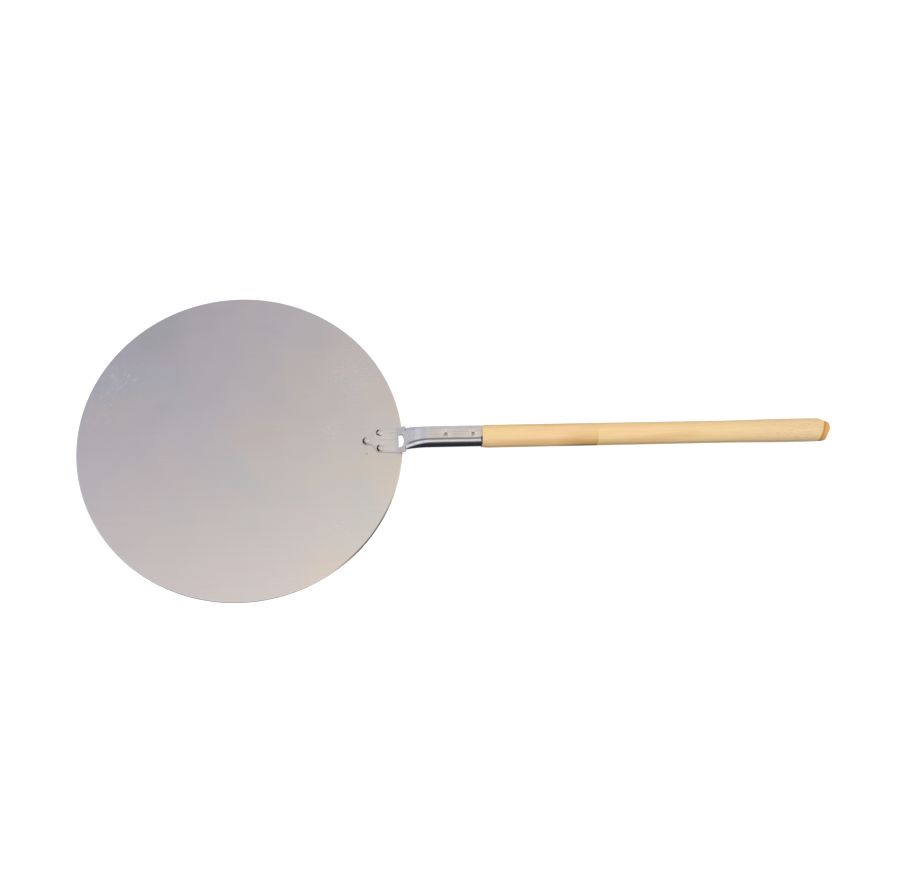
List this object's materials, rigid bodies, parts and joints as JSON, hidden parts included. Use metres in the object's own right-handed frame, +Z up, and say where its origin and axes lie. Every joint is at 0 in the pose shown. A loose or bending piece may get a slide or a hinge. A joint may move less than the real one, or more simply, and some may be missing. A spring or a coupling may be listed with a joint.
{
  "type": "pizza peel",
  "caption": "Round pizza peel: a thin flat aluminium blade riveted to a formed sheet socket that wraps round a straight turned wooden handle with a slight swell.",
  "frame": {"origin": "centre of the round blade, on the flat underside that the peel rests on", "axes": "+X from the blade's centre along the handle to its end, +Z up out of the blade's working face, +Y completes the right-handed frame"},
  "size_m": [0.7369, 0.3048, 0.0328],
  "materials": {
    "blade_sheet": "satin rolled sheet with fine scratches",
    "socket_sheet": "bright rolled sheet, formed",
    "rivets": "satin set heads",
    "handle_wood": "pale turned wood, matt oiled",
    "nails": "plain steel"
  },
  "bodies": {
    "root": {"blade": "blade_sheet", "socket": "socket_sheet", "rivet_front": "rivets", "rivet_rear_left": "rivets", "rivet_rear_right": "rivets", "handle": "handle_wood", "nail_front": "nails", "nail_rear": "nails"}
  },
  "joints": []
}
